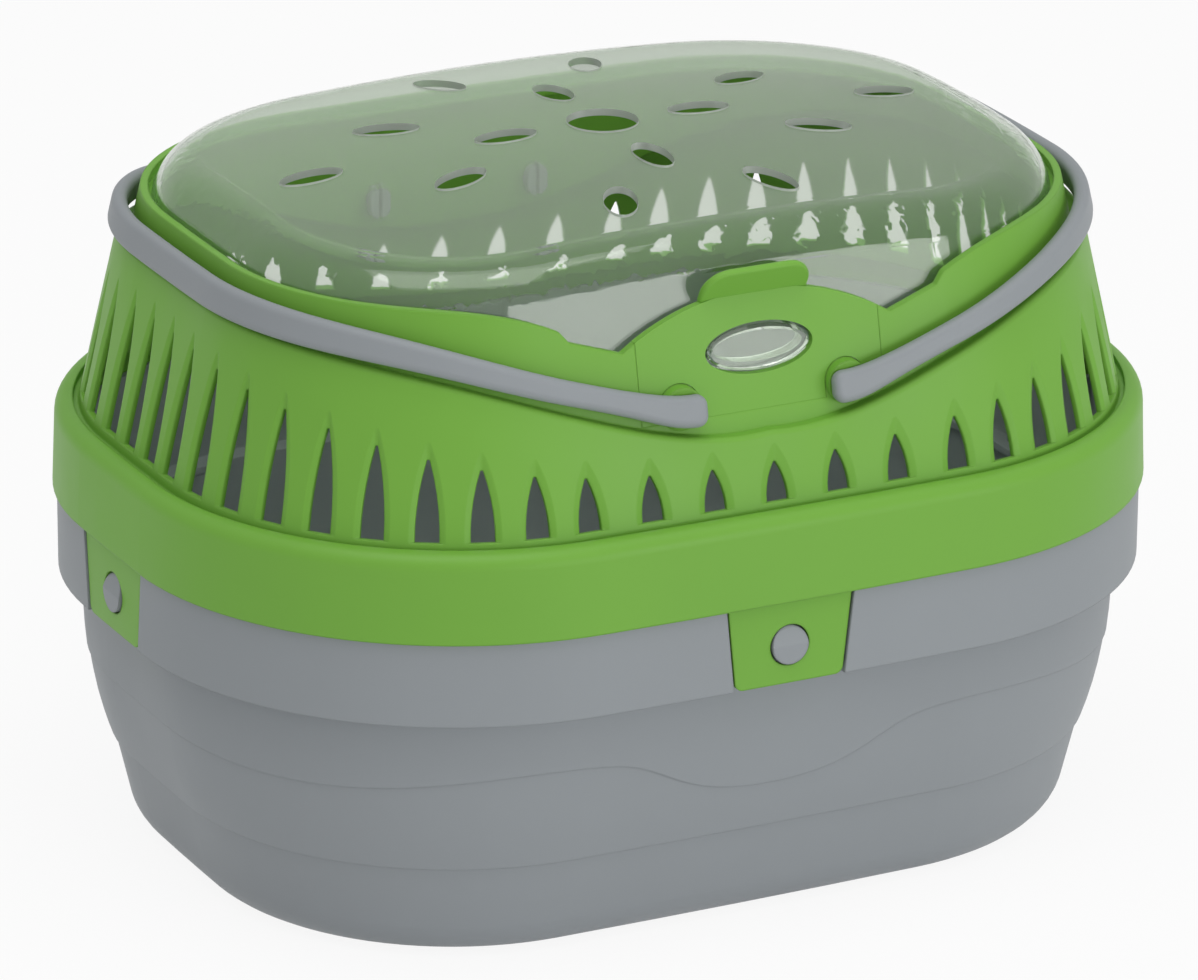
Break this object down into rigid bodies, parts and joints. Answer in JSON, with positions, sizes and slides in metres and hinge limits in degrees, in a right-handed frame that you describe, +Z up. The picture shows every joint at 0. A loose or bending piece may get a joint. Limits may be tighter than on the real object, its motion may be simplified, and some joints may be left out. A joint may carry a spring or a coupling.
{
  "type": "small pet keeper",
  "caption": "Moulded plastic keeper for small pets: tapered tub, slotted shell with snap tongues, clear tipping lid with air holes, and folding bail handles.",
  "frame": {"origin": "middle of the underside of the foot, at the centre of the bounding box in plan", "axes": "+X along the length to the right of the front, -Y the front with the handle ends and latch plate, +Z up"},
  "size_m": [0.3, 0.231, 0.2019],
  "materials": {
    "green_plastic": "lime green moulded polypropylene, soft gloss",
    "grey_plastic": "mid grey moulded polypropylene, satin",
    "clear_plastic": "clear moulded polystyrene, polished"
  },
  "bodies": {
    "keeper": {"lower_tub": "grey_plastic", "upper_shell": "green_plastic"},
    "lid": {"clear_lid": "clear_plastic"},
    "bail_right": {"handle_right": "grey_plastic"},
    "bail_left": {"handle_left": "grey_plastic"},
    "latch": {"latch_plate": "green_plastic"},
    "front_tongue": {"tongue_front": "green_plastic"},
    "right_tongue": {"tongue_right": "green_plastic"},
    "rear_tongue": {"tongue_rear": "green_plastic"},
    "left_tongue": {"tongue_left": "green_plastic"}
  },
  "joints": [
    {"name": "handle_right_swing", "type": "hinge", "parent": "keeper", "child": "bail_right", "pos_m": [0.025, 0, 0.1532], "axis": [0, 1, 0], "range_deg": [-82, 0]},
    {"name": "handle_left_swing", "type": "hinge", "parent": "keeper", "child": "bail_left", "pos_m": [-0.025, 0, 0.1532], "axis": [0, -1, 0], "range_deg": [-82, 0]},
    {"name": "lid_tip", "type": "hinge", "parent": "keeper", "child": "lid", "pos_m": [0, 0.0975, 0.1859], "axis": [-1, 0, 0], "range_deg": [0, 100]},
    {"name": "latch_flex", "type": "hinge", "parent": "keeper", "child": "latch", "pos_m": [0, -0.09627, 0.14982], "axis": [1, 0, 0], "range_deg": [0, 7], "stiffness_Nm_per_rad": 0.6, "deforming": ["latch_plate"]},
    {"name": "tongue_front_flex", "type": "hinge", "parent": "keeper", "child": "front_tongue", "pos_m": [0, -0.1128, 0.09965], "axis": [-1, 0, 0], "range_deg": [0, 11], "stiffness_Nm_per_rad": 0.3},
    {"name": "tongue_right_flex", "type": "hinge", "parent": "keeper", "child": "right_tongue", "pos_m": [0.1473, 0, 0.09965], "axis": [0, -1, 0], "range_deg": [0, 11], "stiffness_Nm_per_rad": 0.3},
    {"name": "tongue_rear_flex", "type": "hinge", "parent": "keeper", "child": "rear_tongue", "pos_m": [0, 0.1128, 0.09965], "axis": [1, 0, 0], "range_deg": [0, 11], "stiffness_Nm_per_rad": 0.3},
    {"name": "tongue_left_flex", "type": "hinge", "parent": "keeper", "child": "left_tongue", "pos_m": [-0.1473, 0, 0.09965], "axis": [0, 1, 0], "range_deg": [0, 11], "stiffness_Nm_per_rad": 0.3}
  ]
}
